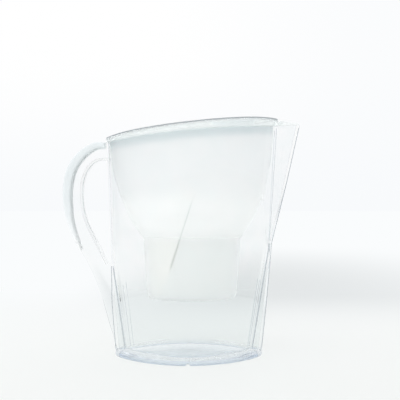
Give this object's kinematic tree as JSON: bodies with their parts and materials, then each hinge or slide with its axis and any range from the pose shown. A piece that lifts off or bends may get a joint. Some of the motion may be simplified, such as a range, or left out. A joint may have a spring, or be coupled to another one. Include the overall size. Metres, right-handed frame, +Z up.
{
  "type": "water filter pitcher",
  "caption": "Slim clear water filter pitcher with a prow spout, a side handle, a lift-out frosted funnel holding an oval filter cartridge, and a lid with a flip-up fill flap.",
  "frame": {"origin": "on the surface the pitcher stands on, below the middle of its bounding box", "axes": "+X towards the spout, +Y towards the pitcher's left as seen from the handle, +Z up"},
  "size_m": [0.2648, 0.104, 0.2679],
  "materials": {
    "clear_plastic": "clear, polished, faint blue at the edges",
    "grip": "satin, pale grey",
    "frosted_plastic": "frosted, translucent white",
    "cartridge_white": "satin, warm white",
    "seal": "soft, matt",
    "mesh": "fine woven mesh",
    "media": "granular, mixed dark and pale grains",
    "lid_plastic": "satin, translucent pale",
    "indicator_plastic": "satin",
    "window": "clear",
    "display": "liquid crystal, grey-green",
    "button": "satin, pale blue",
    "spring_steel": "bright",
    "board": "solder mask",
    "cell_steel": "bright",
    "contact_brass": "bright"
  },
  "bodies": {
    "jug": {"jug_body": "clear_plastic", "handle_grip": "grip"},
    "funnel": {"funnel": "frosted_plastic"},
    "cartridge": {"cartridge_shell": "cartridge_white", "cartridge_cap": "cartridge_white", "cartridge_seal": "seal", "inlet_screen": "mesh", "outlet_screen": "mesh", "filter_media": "media"},
    "pull_ring": {"pull_ring": "cartridge_white"},
    "lid": {"lid_frame": "lid_plastic", "indicator_housing": "indicator_plastic", "indicator_window": "window", "indicator_display": "display", "button_dome": "spring_steel", "circuit_board": "board", "coin_cell": "cell_steel", "cell_contact": "contact_brass", "indicator_cover": "indicator_plastic"},
    "fill_flap": {"fill_flap": "lid_plastic"},
    "spout_flap": {"spout_flap": "lid_plastic"},
    "indicator_button": {"indicator_button": "button"}
  },
  "joints": [
    {"name": "funnel_lift", "type": "slide", "parent": "jug", "child": "funnel", "axis": [0, 0, 1], "range_m": [0, 0.2]},
    {"name": "lid_lift", "type": "slide", "parent": "funnel", "child": "lid", "axis": [0, 0, 1], "range_m": [0, 0.1]},
    {"name": "cartridge_lift", "type": "slide", "parent": "funnel", "child": "cartridge", "axis": [0, 0, 1], "range_m": [0, 0.06]},
    {"name": "pull_ring_hinge", "type": "hinge", "parent": "cartridge", "child": "pull_ring", "pos_m": [0.006, 0, 0.1823], "axis": [0, -1, 0], "range_deg": [0, 90]},
    {"name": "fill_flap_hinge", "type": "hinge", "parent": "lid", "child": "fill_flap", "pos_m": [0.009, 0, 0.26038], "axis": [0, 1, 0], "range_deg": [0, 100]},
    {"name": "spout_flap_hinge", "type": "hinge", "parent": "lid", "child": "spout_flap", "pos_m": [0.1101, 0, 0.26119], "axis": [0, -1, 0], "range_deg": [0, 55]},
    {"name": "button_press", "type": "slide", "parent": "lid", "child": "indicator_button", "axis": [0.0491, 0, -0.9988], "range_m": [0, 0.0008], "stiffness_N_per_m": 200}
  ]
}
